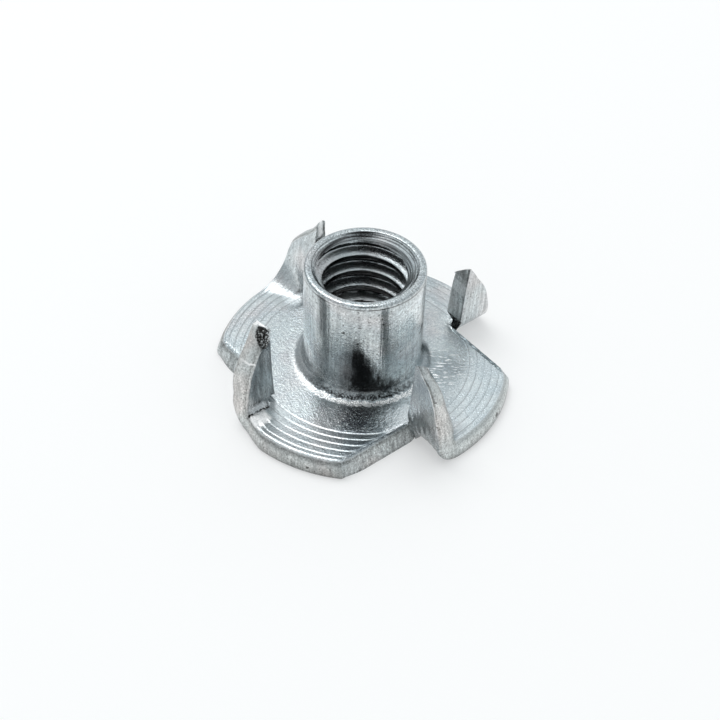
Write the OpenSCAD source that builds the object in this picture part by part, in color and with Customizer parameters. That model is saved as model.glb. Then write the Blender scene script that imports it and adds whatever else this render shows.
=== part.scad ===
// Tee nut for a quarter-inch coarse screw, drawn and folded from one piece of zinc-plated sheet steel.
// The flange lies on z = 0 with the barrel standing up along +Z, and the origin is the middle of the
// flange's flat underside. The screw thread itself is not cut here: the bore has its core size.

/* [Flange] */
// Diameter of the round flange
flange_d = 19.05; // [18:0.05:21]
// Thickness of the sheet at the rim and in the prongs
sheet_t = 1.2; // [1:0.05:1.4]
// How much thicker the sheet is inside the coined rings than at the rim
crown_h = 0.1; // [0.04:0.02:0.2]
// Radius of the rounded rim, in section
rim_round = 1.25; // [1:0.05:1.5]

/* [Coined rings] */
// Number of fine terraces pressed into the top of the flange
ring_count = 5; // [0:1:5]
// Radius of the innermost terrace edge
ring_first_r = 6.8; // [6.4:0.05:7]
// Radial distance from one terrace edge to the next
ring_step = 0.48; // [0.4:0.01:0.5]
// Drop at each terrace edge
ring_drop = 0.04; // [0.02:0.01:0.06]

/* [Barrel] */
// Overall height, from the underside of the flange to the mouth
height = 8.9; // [8:0.1:12]
// Outer diameter of the barrel
barrel_d = 7.55; // [7.2:0.05:8]
// Radius of the fillet between the barrel and the flange
foot_r = 0.75; // [0.5:0.05:1]
// Radius of the drawn-in entry on the underside
entry_r = 1.8; // [1.4:0.1:2]

/* [Bore] */
// Core diameter of the thread
bore_d = 5.2; // [5:0.05:5.4]
// Diameter of the countersink at the mouth
mouth_d = 6.7; // [6.5:0.05:6.8]
// Depth of the countersink
mouth_depth = 0.6; // [0.4:0.05:0.8]
// Rounding of the mouth's outer edge
lip_round = 0.12; // [0.05:0.01:0.15]

/* [Prongs] */
// Turn of the first prong's fold about the axis
prong_turn = 40; // [0:1:89]
// Distance from the axis to the line along which each prong is cut free
cut_r = 6.6; // [6.4:0.05:6.9]
// Lean of the sheared faces away from square
cut_lean = 8; // [0:1:12]
// Radius on the inside of the fold
fold_r = 0.5; // [0.3:0.05:0.8]
// Angle through which each prong is folded up
fold_angle = 87; // [80:1:90]
// Width of the blunt tip
tip_w = 0.5; // [0.3:0.05:0.8]
// Radius of the notch at the root of the cut
root_r = 0.6; // [0.4:0.05:0.8]

/* [Hidden] */
$fn = 128;
eps = 0.01;
prong_count = 4;
// The sheet's neutral layer lies this share of the thickness in from the inside of the fold
neutral_share = 0.33;
// The rim's widest point is this share of the sheet's thickness above the underside
rim_mid_share = 0.3;
// Radial width of the slope at each terrace edge
ring_ramp = 0.12;
arc_drop = 1;
// How far the skins of the sheet are pulled in at the root of a notch, and pressed in on a prong's leg
root_pull = 0.06;
leg_skin = 0.03;
// How far the notch's root laps into the flange, and the leg into the fold
lap = 0.1;

flange_r = flange_d / 2;
barrel_r = barrel_d / 2;
bore_r = bore_d / 2;
mouth_r = mouth_d / 2;
plate_t = sheet_t + crown_h;
outer_fold_r = fold_r + sheet_t;
reach = 2 * flange_r;

// Developed lengths, measured on the sheet's neutral layer: of the fold, of the whole prong from the
// fold line to its blunt tip, and of the straight leg between them
fold_len = (fold_r + neutral_share * sheet_t) * fold_angle * PI / 180;
prong_len = sqrt(pow(flange_r, 2) - pow(cut_r + tip_w, 2));
leg_len = prong_len - fold_len;
// The leg's outer edge is an arc from the rim at the end of the fold to the tip. Its centre lies
// arc_drop below the end of the fold, at arc_x from the axis.
arc_x = (pow(flange_r, 2) + pow(arc_drop, 2) - pow(cut_r + tip_w, 2) - pow(leg_len + arc_drop, 2))
    / (2 * (flange_r - cut_r - tip_w));
arc_r = sqrt(pow(flange_r - arc_x, 2) + pow(arc_drop, 2));
// Distance from the fold line to the near side of the root notch
root_s = outer_fold_r - 0.9 * root_r;

// Height of the flange's top just inside the edge of terrace i. The last edge comes down to sheet_t.
function terrace_z(i) = plate_t - (crown_h - ring_drop) * i / max(ring_count - 1, 1);

// The two corners of each terrace edge, from the outermost inwards
function terrace_points() = [
    for (i = [ring_count - 1 : -1 : 0])
        let (r = ring_first_r + i * ring_step)
            for (p = [[r + ring_ramp, terrace_z(i) - ring_drop], [r, terrace_z(i)]]) p
];

// Half section of a disc of the sheet, of radius r, with the rim's bulge
module rim_section(r, thickness) {
    intersection() {
        square([r, thickness]);
        union() {
            square([r - rim_round, thickness]);
            translate([r - rim_round, rim_mid_share * sheet_t]) circle(rim_round);
        }
    }
}

// Half section of the flange, with its terraces
module flange_section() {
    intersection() {
        polygon(concat(
            [[0, 0], [flange_r, 0], [flange_r, sheet_t]], terrace_points(),
            [[barrel_r + foot_r, plate_t], [0, plate_t]]
        ));
        rim_section(flange_r, plate_t);
    }
}

// Half section of the barrel's wall, with the mouth's outer edge rounded
module barrel_section() {
    square([barrel_r, height - lip_round]);
    square([barrel_r - lip_round, height]);
    translate([barrel_r - lip_round, height - lip_round]) circle(lip_round);
}

// Half section of the fillet at the barrel's foot
module foot_section() {
    difference() {
        translate([barrel_r - eps, plate_t - eps]) square(foot_r + eps);
        translate([barrel_r + foot_r, plate_t + foot_r]) circle(foot_r);
    }
}

// Half section of everything that is open along the axis: entry, bore and countersink
module bore_section() {
    translate([0, -eps]) square([bore_r, height + 2 * eps]);
    difference() {
        translate([0, -eps]) square([bore_r + entry_r, entry_r + eps]);
        translate([bore_r + entry_r, entry_r]) circle(entry_r);
    }
    polygon([
        [0, height - mouth_depth], [bore_r, height - mouth_depth],
        [mouth_r, height], [mouth_r, height + eps], [0, height + eps]
    ]);
}

// Everything that is round about the axis
module drawn_body() {
    rotate_extrude() difference() {
        union() {
            flange_section();
            barrel_section();
            foot_section();
        }
        bore_section();
    }
}

// One of these stands at each prong. In its frame +X runs outwards along the fold line and -Y points
// from the fold line over the notch that the prong was cut from.
module at_prongs() {
    for (i = [0 : prong_count - 1]) rotate(i * 360 / prong_count) children();
}

// An outline drawn through the sheet as the punch cuts it, leaning inwards towards the top
module sheared() {
    translate([cut_r, 0, sheet_t / 2]) rotate([0, -cut_lean, 0]) translate([-cut_r, 0, -plate_t])
        linear_extrude(2 * plate_t) children();
}

// The whole notch, from the fold line on
module notch() {
    sheared() translate([cut_r, -reach]) square([reach, reach]);
}

// The stretch under the fold that the punch leaves in the notch, with the root's round corner. It is
// a little thinner than the sheet, so that it stays inside the fold's two skins.
module notch_root() {
    intersection() {
        sheared() difference() {
            translate([cut_r - lap, -root_s - root_r]) square([root_r + lap, root_s + root_r + lap]);
            translate([cut_r + root_r, -root_s - root_r]) circle(root_r);
        }
        translate([0, -reach, root_pull]) linear_extrude(sheet_t - 2 * root_pull) square(2 * reach);
    }
}

// Everything beyond the sheared face in a section of the sheet. The face passes x halfway up.
module beyond_cut(x) {
    translate([x, sheet_t / 2]) rotate(cut_lean) translate([0, -reach]) square([reach, 2 * reach]);
}

// The folded stretch at the prong's foot. It starts at the fold line as the flange's own section, from
// the sheared face out to the rim.
module prong_fold() {
    translate([0, 0, outer_fold_r]) rotate([180, 90, 0]) rotate_extrude(angle = fold_angle)
        translate([outer_fold_r, 0]) mirror([1, 1]) intersection() {
            rim_section(flange_r, sheet_t);
            beyond_cut(cut_r);
        }
}

// The straight leg, turned up about the fold. Its outer edge is an arc. All its faces are leg_skin
// inside those of the fold, which it laps into.
module prong_leg() {
    translate([0, 0, outer_fold_r]) rotate([-fold_angle, 0, 0]) translate([0, 0, -outer_fold_r])
        intersection() {
            translate([arc_x, arc_drop, 0]) rotate_extrude() rim_section(arc_r - leg_skin, sheet_t);
            translate([0, lap, 0]) rotate([90, 0, 0]) linear_extrude(leg_len + lap) intersection() {
                translate([0, leg_skin]) square([reach, sheet_t - 2 * leg_skin]);
                beyond_cut(cut_r + leg_skin);
            }
        }
}

// Everything is one piece: the drawn body with its notches, and the prongs folded up beside them
module tee_nut() {
    color("lightsteelblue") rotate(prong_turn) union() {
        difference() {
            drawn_body();
            at_prongs() notch();
        }
        at_prongs() notch_root();
        at_prongs() prong_fold();
        at_prongs() prong_leg();
    }
}

tee_nut();
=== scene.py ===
import math

import bmesh
import bpy
from mathutils import Matrix, Vector, noise


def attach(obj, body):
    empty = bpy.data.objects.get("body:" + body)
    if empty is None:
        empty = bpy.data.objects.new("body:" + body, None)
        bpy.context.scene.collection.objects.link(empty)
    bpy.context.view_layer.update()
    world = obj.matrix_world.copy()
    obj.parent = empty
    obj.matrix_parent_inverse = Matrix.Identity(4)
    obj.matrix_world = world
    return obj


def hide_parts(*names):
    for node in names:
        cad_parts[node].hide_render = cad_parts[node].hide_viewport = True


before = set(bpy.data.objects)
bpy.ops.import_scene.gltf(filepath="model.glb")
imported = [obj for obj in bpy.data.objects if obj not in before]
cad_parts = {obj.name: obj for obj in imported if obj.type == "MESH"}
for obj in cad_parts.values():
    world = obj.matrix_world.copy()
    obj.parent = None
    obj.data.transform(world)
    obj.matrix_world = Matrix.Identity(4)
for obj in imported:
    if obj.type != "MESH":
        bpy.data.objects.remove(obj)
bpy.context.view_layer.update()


# ---------------------------------------------------------------------------------------------
# The nut. A blank of cold-rolled steel is drawn into a flange and barrel, its rim is lanced and
# four prongs are folded up, the bore is tapped, and the whole piece is bright zinc plated.
# Everything is made in millimetres, flat first and then folded, and scaled to metres at the end.
# ---------------------------------------------------------------------------------------------

FLANGE_R = 9.525
BARREL_R = 3.775
HEIGHT = 8.9
SHEET = 1.2  # thickness at the rim and in the prongs
PLATE = 1.3  # thickness inside the coined terraces
FOOT_R = 0.75  # fillet between barrel and flange
FOLD_TURN = 40.0  # degrees from x to the first fold line
SPOKES = 240

# The sheet, as rows of rings about the axis. Six coined terraces need closer rows.
RING_FIRST = 6.8
RING_STEP = 0.48
RING_COUNT = 6
RING_DROP = 0.021
RING_RAMP = 0.08  # width of the step down at each ring
LAST_RAMP = 0.2
RING_RISE = 0.18  # where the steeper part of the climb to the next edge ends
RISE_SHARE = 0.55  # how much of the climb it makes

rows = [BARREL_R + FOOT_R, 4.75, 5.0, 5.3, 5.6, 5.9, 6.2, 6.45, 6.65]
for ring in range(RING_COUNT):
    start = RING_FIRST + ring * RING_STEP
    rows += [start - 0.04, start, start + 0.04, start + RING_RAMP, start + 0.12, start + RING_RISE]
    rows.append(start + (0.3 if ring < RING_COUNT - 1 else 0.25))
rows.append(FLANGE_R)


def spin_round(form, points, links):
    """Turns a line of points, edges and all, into a full ring with a spoke on every fold line."""
    fold_line = Matrix.Rotation(math.radians(FOLD_TURN), 3, "Z")
    bmesh.ops.rotate(form, verts=points, matrix=fold_line)
    bmesh.ops.spin(
        form, geom=points + links, cent=(0, 0, 0), axis=(0, 0, 1),
        angle=2 * math.pi, steps=SPOKES, use_merge=True,
    )


sheet = bmesh.new()
spoke = [sheet.verts.new((r, 0, 0)) for r in rows]
spin_round(sheet, spoke, [sheet.edges.new(pair) for pair in zip(spoke, spoke[1:])])

# Marks on the points, which the plating reads: how the metal was worked there, and where shade and
# highlights are painted; in "depth", how far up the sheet's thickness it is. The last is only on the barrel.
MARKS = ("sheared", "rolled", "coined", "scuffed_and_shaded", "depth", "burnish_and_highlight", "tapped")
prong_of = sheet.verts.layers.int.new("prong")
for name in MARKS:
    sheet.verts.layers.float.new(name)
sheared, rolled, coined, scuffed_and_shaded, depth, burnish_and_highlight = [sheet.verts.layers.float[name] for name in MARKS[:-1]]

# The four cuts, each square to its fold line, and the prongs they free. In a prong's own frame x
# runs out along the fold line and s runs away from it over the stretch that is folded up.
CUT_R = 6.6
ROOT_S = 1.15  # where the slit ends, beside the bend
TIP_S = 6.35
CUT_END = 7.5  # past the rim, so that a cut runs right out of the sheet
turns = [Matrix.Rotation(math.radians(FOLD_TURN + 90 * k), 3, "Z") for k in range(4)]
unturns = [turn.transposed() for turn in turns]


def flat_place(co, k):
    """A flat point in prong k's frame: x out along the fold line, s away from it."""
    p = unturns[k] @ co
    return p.x, -p.y


def cut_sheet(k, wanted, x=None, s=None):
    """Cuts the faces that wanted(x, s) picks along one line of prong k's frame."""
    faces = [f for f in sheet.faces if wanted(*flat_place(f.calc_center_median(), k))]
    around = dict.fromkeys(part for f in faces for part in (f, *f.edges, *f.verts))
    if s is None:
        line, across = Vector((x, 0, 0)), Vector((1, 0, 0))
    else:
        line, across = Vector((0, -s, 0)), Vector((0, 1, 0))
    bmesh.ops.bisect_plane(
        sheet, geom=list(around), dist=0.02, plane_co=turns[k] @ line, plane_no=turns[k] @ across,
        use_snap_center=True,
    )


for k in range(4):
    # the slit, then closer rows beside it, and rows across the bend and at the tip
    cut_sheet(k, lambda x, s: 0 < s < CUT_END and 5.8 < x < 7.6, x=CUT_R)
    for off in (0.2, 0.3):
        cut_sheet(k, lambda x, s: 0 < s < 1.8 and 5.8 < x < 7.6, x=CUT_R + off)
    for off in (0.1, 0.2, 0.35):
        cut_sheet(k, lambda x, s: 5.9 < x < CUT_R and 1.3 < s < CUT_END, x=CUT_R - off)
    for s_line in (0.15, 0.3, 0.45, 0.6, 0.75, 0.9, 1.05, ROOT_S, ROOT_S + 0.12, 1.5):
        cut_sheet(k, lambda x, s: CUT_R < x and 0 < s < 2.2, s=s_line)
    cut_sheet(k, lambda x, s: CUT_R < x and 5.8 < s < 7.2, s=TIP_S)
    scrap = []
    for f in sheet.faces:
        x, s = flat_place(f.calc_center_median(), k)
        if x > CUT_R and TIP_S < s < CUT_END:
            scrap.append(f)
    bmesh.ops.delete(sheet, geom=scrap, context="FACES")
    slit = []
    for e in sheet.edges:
        ends = [flat_place(v.co, k) for v in e.verts]
        if all(abs(x - CUT_R) < 1e-4 and ROOT_S - 1e-3 < s < CUT_END for x, s in ends):
            slit.append(e)
    bmesh.ops.split_edges(sheet, edges=slit)
    for f in sheet.faces:
        x, s = flat_place(f.calc_center_median(), k)
        if x > CUT_R and 0 < s < CUT_END:
            for v in f.verts:
                v[prong_of] = k + 1

# The thickness: the flat sheet is raised to two skins a unit apart, with rows on its edges
EDGE_ROWS = [0, 0.05, 0.13, 0.32, 0.55, 0.75, 0.88, 0.96, 1]
TOP_ROW = len(EDGE_ROWS) - 1
raised = bmesh.ops.extrude_face_region(
    sheet, geom=sheet.verts[:] + sheet.edges[:] + sheet.faces[:], use_keep_orig=True,
)
bmesh.ops.translate(sheet, verts=[g for g in raised["geom"] if isinstance(g, bmesh.types.BMVert)], vec=(0, 0, 1))
inner = [f for f in sheet.faces if all(v.co.xy.length < rows[0] + 0.01 for v in f.verts)]
bmesh.ops.delete(sheet, geom=inner, context="FACES")
upright = [e for e in sheet.edges if abs(e.verts[0].co.z - e.verts[1].co.z) > 0.5]
bmesh.ops.subdivide_edges(sheet, edges=upright, cuts=TOP_ROW - 1, use_grid_fill=True)

# Each prong as the press left it. "bend" is the bend's radius and "start" where it begins, both at
# the slit and at the rim. "end_slope" says how far the end falls back towards the rim and towards
# the inner face. The tables go along the prong: its two sides, its skew, its share of the sheet's
# thickness. "burr" is the height of the burr left along its slit.
PRONGS = [
    {   # back right: short, its end broken off on a slope
        "bend": (0.5, 0.5), "start": (0, 0), "length": 5.95, "end_slope": (0.0, 0.95),
        "rim": [(0, 0), (3.4, -0.04), (4.6, -0.26), (6, -0.2)],
        "slit": [(0, 0), (1.3, 0.3), (3, 0.3), (5, 0.42), (6, 0.5)],
        "skew": [(0, 0)], "gauge": [(0, 1), (6, 1)], "chip": 0.0, "burr": 0.08,
    },
    {   # back left: a soft bend that starts well inside the rim
        "bend": (0.6, 2.4), "start": (-0.1, -1.5), "length": 6.5, "end_slope": (0.35, 0.1),
        "rim": [(-1.5, 0), (0, 0.05), (2.6, 0.42), (3.6, 0.38), (4.4, 0.08), (5.2, -0.28), (5.9, -0.12), (6.5, 0.1)],
        "slit": [(0, 0), (3, 0.05), (5, -0.05), (6, -0.2)],
        "skew": [(0, 0)], "gauge": [(0, 1), (3.6, 0.95), (5, 0.85), (6.1, 0.7)], "chip": 0.0, "burr": 0.02,
    },
    {   # front left: narrow at its foot, its tip chipped thin
        "bend": (0.5, 0.45), "start": (0, -0.05), "length": 6.5, "end_slope": (0.0, 0.0),
        "rim": [(-1.6, 0), (0, -0.38), (2, -0.38), (4, -0.24), (5.6, -0.1), (6.5, 0.15)],
        "slit": [(0, 0), (2, 0.16), (6.5, 0.1)],
        "skew": [(1.8, 0), (2.6, 0.15), (3.4, 0.2), (4.2, 0.1), (5, 0)],
        "gauge": [(0, 1), (6, 1)], "chip": 0.35, "burr": 0.02,
    },
    {   # front right: long and wide, its end hammered thin
        "bend": (0.5, 0.5), "start": (0, 0), "length": 6.85, "end_slope": (0.35, 0.5),
        "rim": [(0, 0), (1.4, 0.04), (3.7, 0.31), (5.5, 0.86), (6, 1.1), (6.5, 1.28), (6.85, 1.12)],
        "slit": [(0, 0), (1.3, -0.12), (2.3, -0.1), (4, 0.16), (7, 0.55)], "skew": [(0, 0)],
        "gauge": [(0, 1), (0.9, 1.2), (2, 1.25), (3.7, 1), (5.5, 0.8), (6.2, 0.66), (6.85, 0.5)],
        "chip": 0.0, "burr": 0.03,
    },
]
BACK_RIGHT, BACK_LEFT, FRONT_LEFT, FRONT_RIGHT = range(4)
NEUTRAL = 0.33  # where the sheet keeps its length in the bend, as a share of the thickness
BEND_TURN = math.radians(87)
RIM_ROUND = 1.25  # radius of the rim's bulge, in section
RIM_MID = 0.36  # height at which the rim bulges most
RIM_FROM = 8.9  # radius from which the sheet is drawn in or out to the bulge
RIM_EASE = 0.035  # how far the rim's two edges are eased back
CUT_LEAN = 0.18  # how far a sheared face leans, at each edge


def smooth(a):
    """0 to 1 along an S curve, level at both ends."""
    a = min(max(a, 0.0), 1.0)
    return a * a * (3 - 2 * a)


def along(table, s):
    """A value from a short table of places and values, level beyond both ends."""
    if s <= table[0][0]:
        return table[0][1]
    for (s0, v0), (s1, v1) in zip(table, table[1:]):
        if s < s1:
            return v0 + (v1 - v0) * (s - s0) / (s1 - s0)
    return table[-1][1]


def between(pair, share):
    """A value part of the way from one to the other of a pair."""
    return pair[0] + (pair[1] - pair[0]) * share


def terrace_z(r):
    """Height of the flange's top at radius r, with the coined terraces."""
    if r < RING_FIRST:
        return PLATE
    last = RING_COUNT - 1
    i = min(int((r - RING_FIRST) / RING_STEP), last)
    fall = (PLATE - SHEET - RING_DROP) / last
    top = PLATE - fall * i
    into = r - RING_FIRST - i * RING_STEP
    ramp = RING_RAMP if i < last else LAST_RAMP
    if into < ramp:
        return top - RING_DROP * smooth(into / ramp)
    floor = top - RING_DROP
    if i == last:
        return floor
    part = RING_DROP - fall
    if into < RING_RISE:
        return floor + RISE_SHARE * part * smooth((into - RING_RAMP) / (RING_RISE - RING_RAMP))
    return floor + part * (RISE_SHARE + (1 - RISE_SHARE) * (into - RING_RISE) / (RING_STEP - RING_RISE))


def rim_reach(t):
    """How far out the rim's bulge comes at share t of the sheet's thickness."""
    bulge = FLANGE_R - RIM_ROUND + math.sqrt(RIM_ROUND ** 2 - (t * SHEET - RIM_MID) ** 2)
    return bulge - RIM_EASE * (smooth((t - 0.9) / 0.1) + 0.6 * smooth((0.1 - t) / 0.1))


def mark_prong(v, k, x, s, t, across, stretch, freed):
    """Paints on a point the scuffs and bright places that prong k shows, with painted shade and highlights among
    them.
    """
    at_slit, at_tip = across < 0.04, s > TIP_S - 0.02
    # scuffed beside the slit at its root and broken end, with a bright place below the end
    if k == BACK_RIGHT and freed and at_slit:
        v[scuffed_and_shaded] = float(t < 0.97) if 0.7 < s < 1.3 else 0.38 * smooth((stretch - 4.4) / 0.6)
        v[burnish_and_highlight] = 0.4 * smooth((stretch - 3.4) / 0.3) * smooth((4.6 - stretch) / 0.3)
    # a clipped end, bright in the middle of its thickness
    if k == BACK_LEFT and freed and stretch > 5 and (at_tip or at_slit):
        bare = 0.3 < t < 0.9 and across > 0.1
        v[scuffed_and_shaded] = 0.0 if bare else 0.5
        v[burnish_and_highlight] = 0.9 * bare
    # painted highlight on the flange at its foot, painted shade at the bend, dark along its rim edge,
    # and a painted dark reflection where the tip chipped
    if k == FRONT_LEFT:
        if t > 0.95 and -1.1 < s < 0.1:
            v[burnish_and_highlight] = smooth((x - 7.7) / 0.2) * smooth((s + 1.05) / 0.2) * smooth((0.08 - s) / 0.12)
        chipped_from = 0.95 - 0.42 * smooth((stretch - 5.2) / 1.0)
        chipped = smooth((t - chipped_from) / 0.06) * smooth((stretch - 5.1) / 0.2)
        v[scuffed_and_shaded] = chipped * smooth((across - 0.1) / 0.2)
        if t > 0.93 and across > 0.97 and s > 0.3:
            v[scuffed_and_shaded] = max(v[scuffed_and_shaded], 0.37)
        if t > 0.95 and -0.05 < s < 0.3 and x > 7.4:
            v[scuffed_and_shaded] = 0.75
        if at_tip:
            v[burnish_and_highlight] = 1.0
            v[scuffed_and_shaded] *= 0.3
    # dark along the outer corner of its edge and tip, and painted shade on the outer face as far as the bend
    if k == FRONT_RIGHT:
        v[scuffed_and_shaded] = (0.04 < t < 0.2) * smooth((across - 0.9) / 0.08) * smooth((stretch - 3.8) / 1.2) * 0.42
        if 0.04 < t < 0.2 and at_tip:
            v[scuffed_and_shaded] = 0.42
        if t < 0.02:
            v[scuffed_and_shaded] = 0.41 * smooth(s / 0.3) * (1 - smooth((s - 2.2) / 1.5))
            v[burnish_and_highlight] = 0.45 * smooth((s - 2.4) / 1.6)


def form_slit_side(v, k, x, s, t, top, reach, lean):
    """A point of the flange beside prong k's slit: the sheared face leans and carries a burr."""
    off = CUT_R - x
    if lean > 0:
        lean *= 1 - smooth((math.hypot(x, s) - 8.4) / 1.0)
    x += lean * (1 + 0.25 * smooth((t - 0.9) / 0.1))
    shrink = min(1.0, reach / math.hypot(x, s))
    if k == BACK_RIGHT and t > 0.99 and 0.15 < off < 0.25:
        v[scuffed_and_shaded] = 0.4 * smooth((s - 1.6) / 0.5)
    burr = PRONGS[k]["burr"] * along([(0, -0.7), (0.1, 1), (0.2, -0.8), (0.35, 0)], off)
    burr *= smooth((s - 1.3) / 0.6) * smooth((t - 0.9) / 0.1)
    return Vector((x, -s * shrink, t * top + burr))


def form_prong(v, k, x, s, t, r, top, reach, lean):
    """A point of prong k, or of the flange at its foot: trimmed, thinned and folded up."""
    prong = PRONGS[k]
    freed = v[prong_of] == k + 1
    if s > 0:
        x += 0.25 * lean

    # along the prong: its length, its two sides and its thickness
    stretch = 2 + (s - 2) * (prong["length"] - 2) / (TIP_S - 2) if s > 2 else s
    outline = math.sqrt(max(reach ** 2 - s * s, 1))
    across = min(max((x - CUT_R) / (outline - CUT_R), 0.0), 1.0)
    if s > 0 and freed:
        x += across * (math.sqrt(max(reach ** 2 - stretch ** 2, 1)) - outline)
    x += along(prong["slit"], stretch) * (1 - across) * freed + along(prong["rim"], stretch) * across
    x += along(prong["skew"], stretch) * (1 - t) * across
    to_rim, to_face = prong["end_slope"]
    run = 1.6 + 0.7 * to_face
    near_end = smooth((stretch - prong["length"] + run) / run)
    stretch -= near_end * (to_rim * across ** 2 + to_face * t)
    flatten = smooth((s - 1.5) / 3)
    if prong["bend"][1] > 1:
        flatten = max(flatten, smooth((s + 1.5) / 1.5) * smooth((x - 6.1) / 0.6))
    top += (SHEET - top) * flatten
    chip = smooth((stretch - prong["length"] + 1.5) / 1.2) * smooth((across - 0.1) / 0.5)
    thick = top * (along(prong["gauge"], stretch) - prong["chip"] * chip)
    if k == BACK_LEFT:
        stretch -= near_end * 0.6 * (1 - across) ** 2
    mark_prong(v, k, x, s, t, across, stretch, freed)

    # the bend, a cone where its radius differs between slit and rim
    bend, start = between(prong["bend"], smooth(across)), between(prong["start"], smooth(across))
    into_step = (r - RING_FIRST) / RING_STEP
    tilt = lift = 0.0
    if k == FRONT_LEFT and t > 0.95 and -1.1 < s < 0.1:
        tilt = 0.12 * v[burnish_and_highlight] * smooth((9.15 - x) / 0.2) * (0.5 - into_step % 1.0)
    if k == FRONT_RIGHT:
        bend += 2.2 * across * (1 - across)
        start -= 2.2 * across * (1 - across)
        ridge = math.sin(2 * math.pi * into_step) * smooth((r - 6.7) / 0.2)
        lift = 0.03 * (1 - smooth(t / 0.1)) * ridge * smooth(s / 0.4) * (1 - smooth((s - 1.6) / 1.2))
    lie = Vector((x, -s, t * top + tilt))
    if stretch <= start or (v[prong_of] == 0 and x < CUT_R):
        return lie
    middle_r = bend + NEUTRAL * SHEET
    turn = min((stretch - start) / middle_r, BEND_TURN)
    past = max(stretch - start - middle_r * BEND_TURN, 0.0)
    out = bend + SHEET - t * thick + lift
    folded = Vector((
        x,
        -start - out * math.sin(turn) - past * math.cos(BEND_TURN),
        bend + SHEET - out * math.cos(turn) + past * math.sin(BEND_TURN),
    ))

    # the web at the slit's end stays down, with an upright wall below the bend
    upper = smooth((x - CUT_R) / 0.9)
    lower = smooth((x - CUT_R - 0.2) / 0.1)
    from_slit = between((lower, upper), smooth((t - 0.3) / 0.5))
    return lie.lerp(folded, max(from_slit, smooth((s - ROOT_S) / 0.12)))


def form_sheet(v):
    """Moves one point of the flat sheet to its place on the finished flange or prong."""
    t = EDGE_ROWS[round(v.co.z * TOP_ROW)]
    flat = Vector((v.co.x, v.co.y, 0))
    r = flat.length
    reach = rim_reach(t)
    if r > RIM_FROM:
        flat = flat * ((RIM_FROM + (r - RIM_FROM) * (reach - RIM_FROM) / (FLANGE_R - RIM_FROM)) / r)
    top = terrace_z(r)
    for k in range(4):
        # only what is near this prong's fold line, and isn't part of another prong
        x, s = flat_place(flat, k)
        if x < 3 or not -2.5 < s < 7.6 or v[prong_of] not in (0, k + 1):
            continue
        if v[prong_of] == 0 and s > 0 and x > CUT_R + 0.01:
            continue
        lean = CUT_LEAN * max(0.0, 1 - abs(x - CUT_R) / 0.8) * smooth((s - ROOT_S + 0.3) / 0.8) * (1 - 2 * t)
        if v[prong_of] == 0 and s > 0:
            return turns[k] @ form_slit_side(v, k, x, s, t, top, reach, lean)
        return turns[k] @ form_prong(v, k, x, s, t, r, top, reach, lean)
    return Vector((flat.x, flat.y, t * top))


for v in sheet.verts:
    row = round(v.co.z * TOP_ROW)
    if 0 < row < TOP_ROW:
        on_rim = v.co.xy.length > FLANGE_R - 0.01
        v[rolled] = 1.0 if on_rim else 0.0
        v[sheared] = 0.0 if on_rim else 1.0
    v[coined] = smooth((v.co.xy.length - RING_FIRST + 0.1) / 0.2)
    v[depth] = EDGE_ROWS[row]
    v.co = form_sheet(v)

# The barrel, turned on from the flange: foot fillet, wall, lip, countersunk mouth, thread, entry
BORE_R = 2.6
MAJOR_R = 3.2
PITCH = 1.27
THREAD_TURN = 0.04  # where the thread starts, in turns
CREST = 0.13  # half the width of the flat crest
FLANK = 0.36  # width of the slope between crest and root
MOUTH_R = 3.32
MOUTH_DEPTH = 0.72  # of the countersink
LIP_ROUND = 0.2
ENTRY_R = 1.8  # rounding of the bore's entry, on the underside
FINE_DEPTH = 4.41  # down to here the thread shows from above, so its rows are closer
FINE_ROWS = 137
COARSE_ROWS = 40

section = [(BARREL_R + FOOT_R, PLATE)]
for i in range(1, 11):
    a = math.radians(9 * i)
    section.append((BARREL_R + FOOT_R - FOOT_R * math.sin(a), PLATE + FOOT_R - FOOT_R * math.cos(a)))
wall_from, wall_to = PLATE + FOOT_R, HEIGHT - LIP_ROUND
section += [(BARREL_R, wall_from + (wall_to - wall_from) * i / 14) for i in range(1, 15)]
for i in range(1, 5):
    a = math.radians(22.5 * i)
    section.append((BARREL_R - LIP_ROUND * (1 - math.cos(a)), wall_to + LIP_ROUND * math.sin(a)))
section += [(3.5, HEIGHT), (MOUTH_R + 0.03, HEIGHT)]
bore_from = len(section)
bore_top, fine_to = HEIGHT - 0.01, HEIGHT - FINE_DEPTH
section += [(MOUTH_R, bore_top + (fine_to - bore_top) * i / FINE_ROWS) for i in range(FINE_ROWS)]
section += [(MOUTH_R, fine_to + (ENTRY_R - fine_to) * i / COARSE_ROWS) for i in range(COARSE_ROWS + 1)]
bore_to = len(section)
for i in range(1, 13):
    a = math.radians(7.5 * i)
    section.append((BORE_R + ENTRY_R * (1 - math.cos(a)), ENTRY_R * (1 - math.sin(a))))
section.append((rows[0], 0))

barrel = bmesh.new()
in_bore = barrel.verts.layers.int.new("prong")
for name in MARKS:
    barrel.verts.layers.float.new(name)
tapped = barrel.verts.layers.float["tapped"]
line = [barrel.verts.new((r, 0, z)) for r, z in section]
for v in line[bore_from:bore_to]:
    v[in_bore] = 1
spin_round(barrel, line, [barrel.edges.new(pair) for pair in zip(line, line[1:])])


def thread_r(turn, z):
    """Radius of the tapped bore at an angle in turns and a height."""
    p = abs((z / PITCH - turn - THREAD_TURN) % 1.0 - 0.5) * PITCH
    return BORE_R + (MAJOR_R - BORE_R) * smooth((p - CREST) / FLANK)


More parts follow.
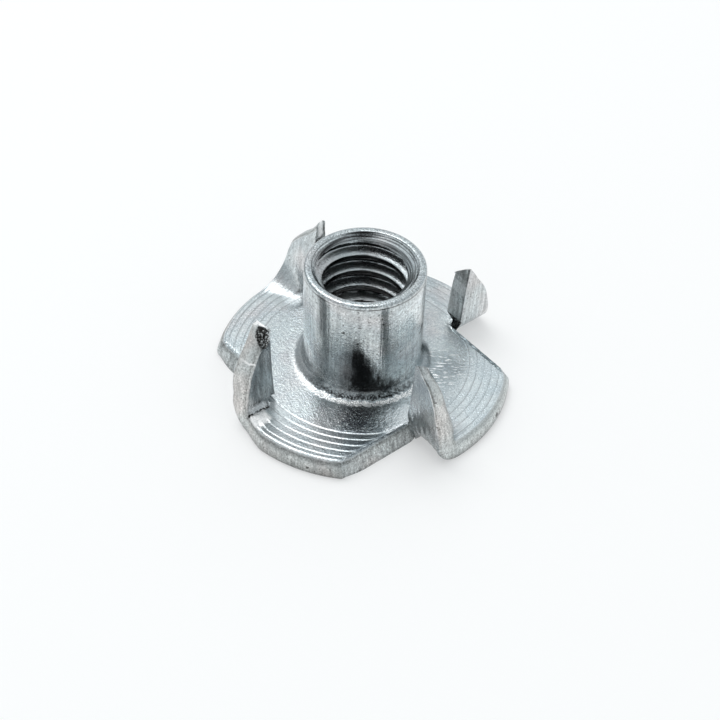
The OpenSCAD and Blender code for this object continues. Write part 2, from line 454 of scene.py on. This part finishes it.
for v in barrel.verts:
    if v[in_bore]:
        around = math.atan2(v.co.y, v.co.x)
        r = thread_r(around / (2 * math.pi), v.co.z)
        rough = noise.noise(Vector((9 * math.cos(around), 9 * math.sin(around), 2.2 * v.co.z)))
        r += 0.01 * rough * smooth((r - BORE_R) / 0.1)
        r += (BORE_R - r) * smooth((ENTRY_R + 0.5 - v.co.z) / 0.5)
        sink_r = MOUTH_R - (MOUTH_R - BORE_R) * (HEIGHT - v.co.z) / MOUTH_DEPTH
        r += (sink_r - r) * smooth((sink_r - r) / 0.06 + 0.5)
        v.co.x, v.co.y = r * math.cos(around), r * math.sin(around)
        v[tapped] = smooth((HEIGHT - 0.1 - v.co.z) / 0.3)

# Flange and barrel made one skin, crisp where two faces meet at more than a soft turn
WELD = 0.0005
SOFT_TURN = math.radians(38)
tee_mesh = bpy.data.meshes.new("tee_nut_form")
sheet.to_mesh(tee_mesh)
barrel.from_mesh(tee_mesh)
sheet.free()
bmesh.ops.remove_doubles(barrel, verts=barrel.verts[:], dist=WELD)
bmesh.ops.recalc_face_normals(barrel, faces=barrel.faces[:])
for e in barrel.edges:
    e.smooth = len(e.link_faces) == 2 and e.calc_face_angle() < SOFT_TURN
for f in barrel.faces:
    f.smooth = True
bmesh.ops.scale(barrel, verts=barrel.verts[:], vec=(0.001, 0.001, 0.001))
barrel.to_mesh(tee_mesh)
barrel.free()
tee_nut = bpy.data.objects.new("tee_nut_plated", tee_mesh)
bpy.context.scene.collection.objects.link(tee_nut)

# Bright zinc plate over drawn steel: satin metal with an orange-peel skin, upright draw marks on
# the walls, coarser torn metal on the sheared edges, and thin dull plate under painted shade in the thread
zinc = bpy.data.materials.new("bright_zinc")
zinc.use_nodes = True
nodes, wires = zinc.node_tree.nodes, zinc.node_tree.links
skin = nodes["Principled BSDF"]
skin.inputs["Metallic"].default_value = 1.0
place = nodes.new("ShaderNodeVectorMath")  # where a point is, in millimetres
place.operation = "SCALE"
place.inputs["Scale"].default_value = 1000
wires.new(nodes.new("ShaderNodeTexCoord").outputs["Object"], place.inputs[0])


def zinc_noise(scale, detail, squeeze=(1, 1, 1), rough=0.5, lean=None):
    """A noise over the nut, drawn out along an axis where squeeze is small, or along a lean."""
    lay = nodes.new("ShaderNodeMapping")
    if lean is not None:
        lay.vector_type = "TEXTURE"
        lay.inputs["Rotation"].default_value = lean
    lay.inputs["Scale"].default_value = squeeze
    wires.new(place.outputs[0], lay.inputs["Vector"])
    pattern = nodes.new("ShaderNodeTexNoise")
    pattern.inputs["Scale"].default_value = scale
    pattern.inputs["Detail"].default_value = detail
    pattern.inputs["Roughness"].default_value = rough
    wires.new(lay.outputs["Vector"], pattern.inputs["Vector"])
    return pattern.outputs["Fac"]


def zinc_math(kind, a, b=None):
    """One sum on the zinc's node tree."""
    node = nodes.new("ShaderNodeMath")
    node.operation = kind
    for slot, value in enumerate((a, b)):
        if isinstance(value, (int, float)):
            node.inputs[slot].default_value = value
        elif value is not None:
            wires.new(value, node.inputs[slot])
    return node.outputs[0]


def zinc_times(first, *others):
    """All the values multiplied."""
    for other in others:
        first = zinc_math("MULTIPLY", first, other)
    return first


def zinc_plus(total, *factors):
    """The total with the product of the factors added."""
    return zinc_math("ADD", total, zinc_times(*factors))


def zinc_range(value, low, high, to_low, to_high):
    """Spreads one range of a pattern over another."""
    node = nodes.new("ShaderNodeMapRange")
    for name, number in zip(("From Min", "From Max", "To Min", "To Max"), (low, high, to_low, to_high)):
        node.inputs[name].default_value = number
    wires.new(value, node.inputs["Value"])
    return node.outputs["Result"]


def zinc_from(value, start, full, most=1):
    """Nothing up to start, and all of it from full on. Full may lie below start."""
    return zinc_range(value, start, full, 0, most)


def zinc_until(value, start, gone, most=1):
    """All of it up to start, and nothing from gone on. Gone may lie below start."""
    return zinc_range(value, start, gone, most, 0)


def zinc_near(value, middle, within, gone, most=1):
    """All of it within a distance of the middle, and nothing beyond another."""
    return zinc_until(zinc_math("ABSOLUTE", zinc_math("SUBTRACT", value, middle)), within, gone, most)


def zinc_mix(share, under, over, blend="MIX"):
    """Lays one colour over another."""
    node = nodes.new("ShaderNodeMix")
    node.data_type = "RGBA"
    node.blend_type = blend
    for slot, value in ((0, share), (6, under), (7, over)):
        if isinstance(value, tuple):
            node.inputs[slot].default_value = value + (1,)
        else:
            wires.new(value, node.inputs[slot])
    return node.outputs[2]


def zinc_tint(share, under, by):
    """Multiplies a colour by another, or by a pattern of grey."""
    return zinc_mix(share, under, by, "MULTIPLY")


def zinc_mark(name):
    """One of the marks painted on the mesh where it was made."""
    node = nodes.new("ShaderNodeAttribute")
    node.attribute_name = name
    return node.outputs["Fac"]


def zinc_split(vector):
    """The x, y and z of a vector."""
    node = nodes.new("ShaderNodeSeparateXYZ")
    wires.new(vector, node.inputs[0])
    return node.outputs


def zinc_distance(point):
    """How far the metal is from one point, in millimetres."""
    node = nodes.new("ShaderNodeVectorMath")
    node.operation = "DISTANCE"
    wires.new(place.outputs[0], node.inputs[0])
    node.inputs[1].default_value = point
    return node.outputs["Value"]


# Where the metal is, which way it faces, and how it was worked
at_x, at_y, at_z = zinc_split(place.outputs[0])
from_axis = zinc_math("SQRT", zinc_plus(zinc_times(at_x, at_x), at_y, at_y))
face_z = zinc_split(nodes.new("ShaderNodeNewGeometry").outputs["Normal"])["Z"]
face_up = zinc_from(face_z, 0.7, 0.9)
upright_wall = zinc_until(zinc_math("ABSOLUTE", face_z), 0.25, 0.7)
torn, pressed, cut_thread, ringed, down = [
    zinc_mark(name) for name in ("sheared", "rolled", "tapped", "coined", "depth")
]
edged = zinc_math("MAXIMUM", torn, pressed)
on_prong = zinc_times(upright_wall, zinc_from(from_axis, 4.5, 4.8))
on_top = zinc_from(at_z, 1.1, 1.17)
off_plate = zinc_from(at_z, 1.2, 1.28)
ring_at = zinc_math("FRACT", zinc_math("DIVIDE", zinc_math("SUBTRACT", from_axis, RING_FIRST), RING_STEP))
cone_at = zinc_math("DIVIDE", zinc_math("SUBTRACT", HEIGHT, at_z), MOUTH_DEPTH)

# Patterns that several marks share
grain = zinc_noise(11, 2)
peel = zinc_noise(6, 3)
cloud = zinc_noise(0.7, 3)
mottle = zinc_noise(3, 4, rough=0.65)
speckle = zinc_noise(9.5, 3, rough=0.7)
draw_marks = zinc_noise(7, 3, (1, 1, 0.03))
tool_lines = zinc_noise(14, 2, (0.06, 0.06, 1))
long_lines = zinc_noise(16, 2, (0.02, 0.02, 1), 0.6)
ragged = zinc_plus(from_axis, zinc_range(zinc_noise(3.3, 3), 0.3, 0.7, -0.1, 0.1))

# The bare plate: slow clouds under a fine grain, greyer where it was rolled or torn
tone = zinc_mix(zinc_from(cloud, 0.35, 0.65), (0.55, 0.59, 0.61), (0.63, 0.655, 0.66))
tone = zinc_mix(zinc_times(zinc_from(grain, 0.35, 0.6), 0.45), tone, (0.36, 0.39, 0.41))
tone = zinc_mix(zinc_times(pressed, 0.6), tone, (0.55, 0.555, 0.54))
tone = zinc_mix(zinc_times(torn, 0.6), tone, (0.46, 0.475, 0.475))

# Thin plate in the thread, with the tap's lines showing through, and painted shade on every face
# that doesn't turn up, so only the upper flanks stay bright
thread_shade_lines = zinc_mix(zinc_from(tool_lines, 0.52, 0.66), (0.03, 0.031, 0.033), (0.17, 0.175, 0.18))
tone = zinc_mix(zinc_times(cut_thread, zinc_until(face_z, 0.25, 0.55)), tone, thread_shade_lines)

# The countersink, with the cutter's lines and two dark bands painted across it
cone = zinc_times(
    zinc_from(cone_at, 0.02, 0.06), zinc_until(cone_at, 0.96, 1.0), zinc_until(from_axis, 3.35, 3.4),
)
tone = zinc_tint(zinc_times(cone, 0.8), tone, zinc_range(long_lines, 0.4, 0.56, 0.3, 1.5))
upper_dark_band = zinc_near(zinc_plus(cone_at, zinc_math("ADD", at_x, 1.9), 0.16), 0.48, 0.2, 0.32)
upper_dark_band = zinc_times(upper_dark_band, zinc_until(at_x, 0.6, 1.6))
lower_dark_band = zinc_times(zinc_near(cone_at, 0.72, 0.12, 0.22, 0.75), zinc_near(at_x, 0.6, 1.2, 2.2))
dark_bands = zinc_times(
    zinc_math("MAXIMUM", upper_dark_band, lower_dark_band), zinc_from(at_y, 0.2, 1.2),
    zinc_range(long_lines, 0.42, 0.6, 1.0, 0.55),
)
tone = zinc_mix(zinc_times(cone, dark_bands), tone, (0.03, 0.03, 0.032))

# A faint blue and straw bloom from the bath
bloom = zinc_noise(0.33, 2)
tone = zinc_tint(zinc_from(bloom, 0.35, 0.65), tone, (0.96, 1.0, 1.005))
tone = zinc_tint(zinc_from(bloom, 0.5, 0.35), tone, (1.05, 1.0, 0.985))

# Upright marks: torn metal in the cuts, draw marks on the walls, long pulls on the prongs, which
# are strongest on the left front one
cut_marks = zinc_noise(4.2, 3, (1, 1, 0.08), 0.6)
tone = zinc_tint(zinc_times(torn, 0.9), tone, zinc_range(cut_marks, 0.36, 0.62, 0.68, 1.16))
tone = zinc_tint(zinc_times(upright_wall, 0.7), tone, zinc_range(draw_marks, 0.35, 0.62, 0.8, 1.14))
pulls = zinc_noise(3.6, 3, (1, 1, 0.1))
tone = zinc_tint(on_prong, tone, zinc_range(pulls, 0.36, 0.6, 0.84, 1.1))
near_left = zinc_times(
    zinc_math("SUBTRACT", on_prong, pressed), zinc_from(at_x, -3.6, -4.2), zinc_from(at_y, 0.0, -1.0),
)
left_pulls = zinc_noise(2.3, 4, (1, 1, 0.12), 0.6)
tone = zinc_tint(near_left, tone, zinc_range(left_pulls, 0.38, 0.6, 0.58, 1.12))
barrel_wall = zinc_math("SUBTRACT", upright_wall, on_prong)
tone = zinc_tint(barrel_wall, tone, zinc_range(mottle, 0.36, 0.6, 0.86, 1.1))

# Fine pepper all over, thicker on the edges of the sheet and on the barrel's lip
pepper = zinc_plus(0.4, zinc_math("MAXIMUM", torn, zinc_times(pressed, 0.5)), 0.5)
pepper = zinc_plus(pepper, upright_wall, 0.2)
pepper = zinc_math("MAXIMUM", pepper, zinc_from(at_z, 8.6, 8.7, 0.95))
tone = zinc_tint(pepper, tone, zinc_range(speckle, 0.36, 0.62, 0.55, 1.2))

# Painted shade on the rim: darker towards its foot and along the front
tone = zinc_tint(pressed, tone, zinc_range(at_z, 0.0, 0.7, 0.62, 1.05))
front_rim_shade = zinc_times(pressed, zinc_from(at_y, -6.6, -8.0), zinc_until(at_x, 1, 2))
tone = zinc_tint(front_rim_shade, tone, zinc_range(cloud, 0.38, 0.6, 0.66, 0.86))

# The sheet's edges: painted shade in a dark line below the upper corner and along the lower one,
# and a painted highlight on the upper corner
edge_shade_lines = zinc_times(zinc_from(down, 0.72, 0.88), zinc_until(down, 0.9, 0.95))
edge_shade_lines = zinc_times(edge_shade_lines, zinc_range(at_x, 4.5, 6.5, 1, 0.25))
edge_shade_lines = zinc_math("MAXIMUM", edge_shade_lines, zinc_until(down, 0.05, 0.18))
edge_shade_lines = zinc_times(edge_shade_lines, edged, zinc_range(speckle, 0.35, 0.65, 0.75, 0.15))
tone = zinc_mix(edge_shade_lines, tone, (0.12, 0.12, 0.115))
tone = zinc_mix(zinc_times(zinc_from(down, 0.93, 0.97, 0.4), edged), tone, (0.74, 0.75, 0.745))

# A dark line along the foot of each step of the coined terraces
step_lines = zinc_times(zinc_from(ring_at, 0.1, 0.17), zinc_until(ring_at, 0.2, 0.3), zinc_from(face_z, 0.6, 0.9))
step_lines = zinc_times(step_lines, ringed, zinc_range(cloud, 0.35, 0.6, 0.15, 0.6), on_top)
tone = zinc_mix(step_lines, tone, (0.16, 0.165, 0.17))

# The flange's top: painted shade on the front lobe, most of all at its right, and painted light
# on the right one
front_lobe_shade = zinc_times(zinc_from(at_y, -5.5, -7.4), face_up, on_top)
front_lobe_shade = zinc_times(front_lobe_shade, zinc_range(ring_at, 0.18, 0.3, 0.1, 1), zinc_until(from_axis, 8.99, 9.02))
tone = zinc_tint(front_lobe_shade, tone, (0.62, 0.64, 0.65))
right_lobe_light = zinc_times(zinc_from(at_x, 5.0, 6.6), face_up, on_top)
tone = zinc_tint(right_lobe_light, tone, (1.22, 1.22, 1.22))
tone = zinc_tint(zinc_times(front_lobe_shade, zinc_from(at_x, -1.4, 0.2)), tone, (0.7, 0.71, 0.73))

# A dark reflection painted in front of the barrel, and a painted highlight to its right
patch_edge_noise = zinc_noise(2.6, 3, rough=0.6)
painted_dark_reflection = zinc_plus(zinc_distance((-0.2, -5.7, 1.3)), zinc_range(patch_edge_noise, 0.3, 0.7, -0.5, 0.5))
painted_dark_reflection = zinc_times(zinc_until(painted_dark_reflection, 0.6, 1.6), zinc_until(speckle, 0.42, 0.58, 0.82), face_up)
tone = zinc_mix(painted_dark_reflection, tone, (0.09, 0.10, 0.13))
painted_highlight_patch = zinc_plus(zinc_distance((2.7, -5.5, 1.3)), zinc_range(patch_edge_noise, 0.3, 0.7, -0.6, 0.6))
tone = zinc_mix(zinc_times(zinc_until(painted_highlight_patch, 0.8, 1.7, 0.75), face_up), tone, (0.95, 0.98, 1.0))

# Short bright nicks on a greyer ground, right of the barrel
nicked = zinc_times(zinc_until(zinc_distance((5.0, -0.9, 1.3)), 1.0, 1.9), face_up)
tone = zinc_tint(nicked, tone, (0.74, 0.76, 0.77))
strokes = zinc_from(zinc_noise(7.5, 2, (0.2, 1, 1)), 0.57, 0.62)
tone = zinc_mix(zinc_times(nicked, strokes), tone, (0.97, 0.98, 0.98))

# The barrel's foot: a black band painted in the fillet at the front as a dark reflection, painted
# shade over the fillet, and a worn white ring outside it, brightest at the front as a painted highlight
foot_reflection_band = zinc_times(zinc_from(ragged, 3.86, 3.98), zinc_until(ragged, 4.1, 4.17))
foot_reflection_band = zinc_times(foot_reflection_band, zinc_until(at_y, -3.4, -1.8), off_plate)
tone = zinc_mix(zinc_times(foot_reflection_band, zinc_range(speckle, 0.48, 0.58, 1.0, 0.15)), tone, (0.01, 0.01, 0.01))
fillet_shade = zinc_times(zinc_from(from_axis, 3.79, 3.84), zinc_until(ragged, 4.25, 4.4), off_plate)
tone = zinc_tint(fillet_shade, tone, (0.7, 0.72, 0.73))
worn_highlight_ring = zinc_times(zinc_from(ragged, 4.2, 4.27), zinc_until(ragged, 4.5, 4.6))
worn_highlight_ring = zinc_times(worn_highlight_ring, zinc_until(at_y, -3.0, -1.4), zinc_range(speckle, 0.42, 0.52, 0.1, 1), off_plate)
tone = zinc_mix(zinc_times(worn_highlight_ring, 0.7), tone, (0.8, 0.81, 0.81))

# Walls outside the thread, painted lighter
lighter_wall = zinc_times(upright_wall, zinc_math("SUBTRACT", 1.0, cut_thread))
tone = zinc_tint(lighter_wall, tone, (1.17, 1.16, 1.15))

# Bare dark scuffs, and painted shade and dark reflections, where the mesh was marked for them
scuff_and_shade = zinc_times(zinc_from(zinc_mark("scuffed_and_shaded"), 0.25, 0.55), zinc_range(grain, 0.52, 0.6, 1.0, 0.3))
tone = zinc_mix(scuff_and_shade, tone, (0.02, 0.019, 0.018))

# A dark reflection painted up the front of the barrel: a leaning streak, narrower as it goes up,
# with a softer left side, over a low one to its right
reflection_climb = zinc_from(at_z, 2.0, 5.6)
off_line = zinc_math("SUBTRACT", at_x, zinc_range(reflection_climb, 0, 1, 0.5, -0.4))
reflection_edge_noise = zinc_noise(2.6, 4, (1, 1, 0.4), 0.65)
aside = zinc_math("DIVIDE", zinc_math("ABSOLUTE", off_line), zinc_range(reflection_climb, 0, 1, 1.9, 0.3))
aside = zinc_plus(aside, zinc_range(reflection_edge_noise, 0, 1, -0.8, 0.8))
front_dark_reflection = zinc_times(zinc_until(aside, 0.5, 1.9, 0.8), zinc_from(off_line, 0, -0.3))
front_dark_reflection = zinc_math("MAXIMUM", front_dark_reflection, zinc_until(aside, 0.4, 1.1))
front_dark_reflection = zinc_times(
    front_dark_reflection, zinc_until(at_y, -2.6, -1.6), zinc_until(at_z, 5.0, 6.4), zinc_from(at_z, 1.5, 1.9),
    zinc_range(speckle, 0.42, 0.62, 1.0, 0.9),
)
tone = zinc_mix(front_dark_reflection, tone, (0.018, 0.018, 0.018))
low_dark_reflection = zinc_until(zinc_plus(at_z, zinc_range(reflection_edge_noise, 0.3, 0.7, -0.4, 0.4)), 2.2, 2.7, 0.8)
low_dark_reflection = zinc_times(
    low_dark_reflection, zinc_from(at_z, 1.6, 1.9), zinc_near(at_x, 1.3, 1.0, 2.0), zinc_until(at_y, -2.2, -1.5),
    zinc_range(speckle, 0.42, 0.62, 1.0, 0.6),
)
tone = zinc_mix(low_dark_reflection, tone, (0.03, 0.03, 0.03))

# The barrel's right side: rub marks in leaning strokes, and painted light that lifts the whole side
rubbed_and_lit = zinc_times(zinc_from(at_x, 1.9, 2.4), zinc_from(at_y, -0.7, -1.2), zinc_from(at_z, 8.6, 8.0))
rubbed_and_lit = zinc_times(rubbed_and_lit, upright_wall, zinc_until(from_axis, 3.9, 4.1))
rub_lines = zinc_noise(0.7, 3, (1, 1, 0.12), lean=(0, math.radians(-40), 0))
tone = zinc_tint(rubbed_and_lit, tone, zinc_range(rub_lines, 0.38, 0.6, 1.14, 1.42))

# Black dots on the walls, and an upright dark reflection painted on the barrel's left
dots = zinc_times(zinc_from(zinc_noise(6.2, 1), 0.67, 0.71, 0.7), upright_wall)
tone = zinc_mix(dots, tone, (0.06, 0.055, 0.05))
left_dark_reflection = zinc_math("ABSOLUTE", zinc_math("ADD", at_x, 2.47))
left_dark_reflection = zinc_plus(left_dark_reflection, zinc_range(zinc_noise(4, 3, (1, 1, 0.15)), 0.3, 0.7, -0.15, 0.15))
left_dark_reflection = zinc_times(zinc_until(left_dark_reflection, 0.14, 0.4, 0.62), zinc_until(at_y, -2.2, -1.6), upright_wall)
left_dark_reflection = zinc_times(left_dark_reflection, zinc_range(at_z, 5.2, 6.2, 0.35, 1))
tone = zinc_mix(left_dark_reflection, tone, (0.10, 0.105, 0.11))

# A painted shadow: a dark line round the outside of the lip
lip_shadow_line = zinc_times(zinc_from(at_z, 8.56, 8.6), zinc_until(at_z, 8.66, 8.7), zinc_from(from_axis, 3.6, 3.65))
tone = zinc_mix(zinc_times(lip_shadow_line, zinc_range(cloud, 0.35, 0.6, 0.3, 0.85)), tone, (0.08, 0.08, 0.08))

# White zinc bloom and painted highlights: where the mesh is marked burnished, partly a painted
# highlight, in the worn ring, which is partly one too, and in a scratch across the left front prong
wander = zinc_plus(at_z, zinc_range(zinc_noise(2.6, 2), 0.3, 0.7, -0.1, 0.1))
scratch = zinc_times(
    zinc_near(wander, 4.7, 0.04, 0.08), pressed, zinc_from(at_x, -5.2, -5.5), zinc_from(at_y, -4.0, -4.5),
)
bright = zinc_mark("burnish_and_highlight")
bloom_and_highlight = zinc_times(bright, zinc_range(speckle, 0.34, 0.5, 0.6, 1))
bloom_and_highlight = zinc_math("MAXIMUM", bloom_and_highlight, zinc_times(scratch, 0.8))
bloom_and_highlight = zinc_math("MAXIMUM", bloom_and_highlight, zinc_times(worn_highlight_ring, 0.9))
tone = zinc_mix(bloom_and_highlight, tone, (0.98, 0.98, 0.975))
chalk = zinc_noise(7, 3, rough=0.7)
tone = zinc_tint(zinc_from(bright, 0.6, 0.9), tone, zinc_range(chalk, 0.34, 0.5, 0.8, 1.05))
wires.new(zinc_range(bright, 0.5, 1, 1.0, 0.25), skin.inputs["Metallic"])

# Single pits, by their places and sizes
pits = None
for at, size in (
    ((8.5, -4.2, 0.6), 0.2), ((3.6, -1.1, 5.1), 0.28), ((3.5, -1.4, 4.8), 0.16), ((-1.2, -3.6, 6.6), 0.12),
    ((-0.3, -3.76, 5.9), 0.1), ((-7.9, -5.3, 0.8), 0.14), ((-3.1, -9.0, 0.5), 0.12), ((1.2, -3.58, 7.4), 0.09),
):
    ragged_edge = zinc_range(speckle, 0.3, 0.7, -0.4 * size, 0.4 * size)
    pit = zinc_until(zinc_plus(zinc_distance(at), ragged_edge), 0.6 * size, size)
    pits = pit if pits is None else zinc_math("MAXIMUM", pits, pit)
tone = zinc_mix(zinc_times(pits, 0.85), tone, (0.05, 0.048, 0.045))
wires.new(tone, skin.inputs["Base Color"])

# Roughness: the walls are the smoothest, and torn, rolled and rusted metal the dullest
dull = zinc_range(cloud, 0.3, 0.7, 0.09, 0.15)
dull = zinc_plus(dull, zinc_math("SUBTRACT", 1.0, upright_wall), 0.10)
for mark, share in ((ringed, 0.05), (torn, 0.16), (pressed, 0.14), (cut_thread, 0.06), (bloom_and_highlight, 0.08)):
    dull = zinc_plus(dull, mark, share)
wires.new(dull, skin.inputs["Roughness"])

# Bump: grain and orange peel, then draw marks, a hammered place, pitted foot, torn edges, tap lines
BUMP_DEPTH = 0.00002  # metres
BUMP_SHARE = 0.5
bumps = zinc_plus(zinc_times(grain, 1.2), peel, zinc_range(upright_wall, 0, 1, 1.2, 0.3))
bumps = zinc_times(bumps, zinc_range(at_x, -6.6, -4.5, 0.5, 1))
hammered = zinc_times(
    zinc_near(at_x, 0.6, 1.8, 2.8), zinc_from(at_y, -4.0, -4.6), zinc_until(from_axis, 6.6, 6.9),
)
pitted = zinc_math("MAXIMUM", zinc_times(worn_highlight_ring, 0.5), foot_reflection_band)
for where, pattern, share in (
    (upright_wall, draw_marks, 1.8), (hammered, mottle, 3.5), (pitted, speckle, 4.0),
    (edged, speckle, 2.5), (cut_thread, tool_lines, 1.6),
):
    bumps = zinc_plus(bumps, where, pattern, share)
bump = nodes.new("ShaderNodeBump")
bump.inputs["Strength"].default_value = BUMP_SHARE
bump.inputs["Distance"].default_value = BUMP_DEPTH
wires.new(bumps, bump.inputs["Height"])
wires.new(bump.outputs["Normal"], skin.inputs["Normal"])

tee_mesh.materials.append(zinc)
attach(tee_nut, "root")
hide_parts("tee_nut")


# ---------------------------------------------------------------------------------------------
# The table: a wide sheet of matt white board that the nut stands on. It looks white to the lens
# and in the metal, and keeps the nut's shadow.
# ---------------------------------------------------------------------------------------------

TABLE_HALF = 3  # metres
BOARD_WHITE = (0.97, 0.97, 0.965, 1)
BOARD_GLOW = 0.38  # how much of what the lens and the metal see is plain white

table_mesh = bpy.data.meshes.new("table_top")
table = bmesh.new()
bmesh.ops.create_grid(table, x_segments=1, y_segments=1, size=TABLE_HALF)
table.to_mesh(table_mesh)
table.free()
table_top = bpy.data.objects.new("table_top", table_mesh)
bpy.context.scene.collection.objects.link(table_top)

board = bpy.data.materials.new("white_board")
board.use_nodes = True
board_nodes, board_wires = board.node_tree.nodes, board.node_tree.links
board_nodes.remove(board_nodes["Principled BSDF"])
matt = board_nodes.new("ShaderNodeBsdfDiffuse")
matt.inputs["Color"].default_value = BOARD_WHITE
plain = board_nodes.new("ShaderNodeEmission")
plain.inputs["Color"].default_value = (1, 1, 1, 1)
rays = board_nodes.new("ShaderNodeLightPath").outputs
seen = rays["Is Camera Ray"]
for operation, other in (
    ("MAXIMUM", rays["Is Glossy Ray"]), ("MAXIMUM", rays["Is Transmission Ray"]), ("MULTIPLY", BOARD_GLOW),
):
    node = board_nodes.new("ShaderNodeMath")
    node.operation = operation
    board_wires.new(seen, node.inputs[0])
    if operation == "MULTIPLY":
        node.inputs[1].default_value = other
    else:
        board_wires.new(other, node.inputs[1])
    seen = node.outputs[0]
both = board_nodes.new("ShaderNodeMixShader")
board_wires.new(seen, both.inputs[0])
board_wires.new(matt.outputs[0], both.inputs[1])
board_wires.new(plain.outputs[0], both.inputs[2])
board_wires.new(both.outputs[0], board_nodes["Material Output"].inputs["Surface"])
table_mesh.materials.append(board)


# ---------------------------------------------------------------------------------------------
# The camera and the light. The nut stands in a white cloth tent, lit through its roof by a
# softbox, and the lens looks in through an opening that shows dark in the metal.
# ---------------------------------------------------------------------------------------------

RISE = math.radians(44.392)  # of the lens above the table
ROLL = math.radians(1.832)
DISTANCE = 93.388032  # millimetres
FRAME_PX = 720
FOCAL_PX = 1439.58
CENTRE_PX = (361.824, 369.805)  # where the nut's foot lies in the frame
SENSOR = 36

back = Vector((0, -math.cos(RISE), math.sin(RISE)))
right = Vector((1, 0, 0))
up = back.cross(right)
view_x = math.cos(ROLL) * right + math.sin(ROLL) * up
view_y = -math.sin(ROLL) * right + math.cos(ROLL) * up
off_x = (CENTRE_PX[0] - FRAME_PX / 2) * DISTANCE / FOCAL_PX
off_y = -(CENTRE_PX[1] - FRAME_PX / 2) * DISTANCE / FOCAL_PX
eye = (DISTANCE * back - off_x * view_x - off_y * view_y) * 0.001

lens = bpy.data.cameras.new("bench_camera")
lens.sensor_width = SENSOR
lens.lens = FOCAL_PX * SENSOR / FRAME_PX
lens.clip_start = 0.002
camera = bpy.data.objects.new("bench_camera", lens)
camera.matrix_world = Matrix.Translation(eye) @ Matrix((view_x, view_y, back)).transposed().to_4x4()
bpy.context.scene.collection.objects.link(camera)
bpy.context.scene.camera = camera

tent = bpy.data.worlds.new("white_tent")
tent.use_nodes = True
bpy.context.scene.world = tent
tent_nodes, tent_wires = tent.node_tree.nodes, tent.node_tree.links


def tent_math(kind, a, b=None):
    """One sum on the tent's node tree."""
    node = tent_nodes.new("ShaderNodeMath")
    node.operation = kind
    for slot, value in enumerate((a, b)):
        if isinstance(value, (int, float)):
            node.inputs[slot].default_value = value
        elif value is not None:
            tent_wires.new(value, node.inputs[slot])
    return node.outputs[0]


def tent_mix(share, under, over):
    """Lays one colour over another on the tent's node tree."""
    node = tent_nodes.new("ShaderNodeMix")
    node.data_type = "RGBA"
    tent_wires.new(share, node.inputs[0])
    for slot, value in ((6, under), (7, over)):
        if isinstance(value, tuple):
            node.inputs[slot].default_value = value + (1,)
        else:
            tent_wires.new(value, node.inputs[slot])
    return node.outputs[2]


sides = tent_nodes.new("ShaderNodeSeparateXYZ")
tent_wires.new(tent_nodes.new("ShaderNodeTexCoord").outputs["Generated"], sides.inputs[0])
bearing = tent_math("ARCTAN2", sides.outputs["X"], tent_math("MULTIPLY", sides.outputs["Y"], -1.0))
climb = tent_math("ARCSINE", sides.outputs["Z"])


def tent_patch(at, size, soft, dark):
    """Dark in the middle of a patch and 1 outside it. Its place is a bearing and a climb, in degrees."""
    away = 0.0
    for angle, middle, half in zip((bearing, climb), at, size):
        part = tent_math("SUBTRACT", angle, math.radians(middle))
        part = tent_math("MULTIPLY", part, 1 / math.radians(half))
        away = tent_math("ADD", away, tent_math("MULTIPLY", part, part))
    node = tent_nodes.new("ShaderNodeMapRange")
    node.interpolation_type = "SMOOTHSTEP"
    for name, number in zip(("From Min", "From Max", "To Min"), (1 - soft, 1 + soft, dark)):
        node.inputs[name].default_value = number
    tent_wires.new(tent_math("SQRT", away), node.inputs["Value"])
    return node.outputs["Result"]


opening = tent_patch(at=(3, 42), size=(20, 21), soft=0.25, dark=0.0)
dim_right = tent_patch(at=(75, 35), size=(32, 40), soft=0.5, dark=0.8)
dim_left = tent_patch(at=(-105, 30), size=(50, 35), soft=0.5, dark=0.7)
level = tent_math("MULTIPLY", tent_math("MULTIPLY", opening, dim_right), dim_left)
cloth = tent_mix(level, (0, 0, 0), (0.82, 0.86, 0.88))
to_lens = tent_nodes.new("ShaderNodeLightPath").outputs["Is Camera Ray"]
tent_wires.new(tent_mix(to_lens, cloth, (1, 1, 1)), tent_nodes["Background"].inputs["Color"])

SOFTBOX_AT = Vector((-0.10, 0.12, 0.34))  # metres
softbox = bpy.data.lights.new("overhead_softbox", "AREA")
softbox.shape = "SQUARE"
softbox.size = 0.26
softbox.energy = 0.5
softbox_place = bpy.data.objects.new("overhead_softbox", softbox)
softbox_place.location = SOFTBOX_AT
softbox_place.rotation_euler = SOFTBOX_AT.to_track_quat("Z", "Y").to_euler()
bpy.context.scene.collection.objects.link(softbox_place)

bpy.context.scene.view_settings.view_transform = "Standard"
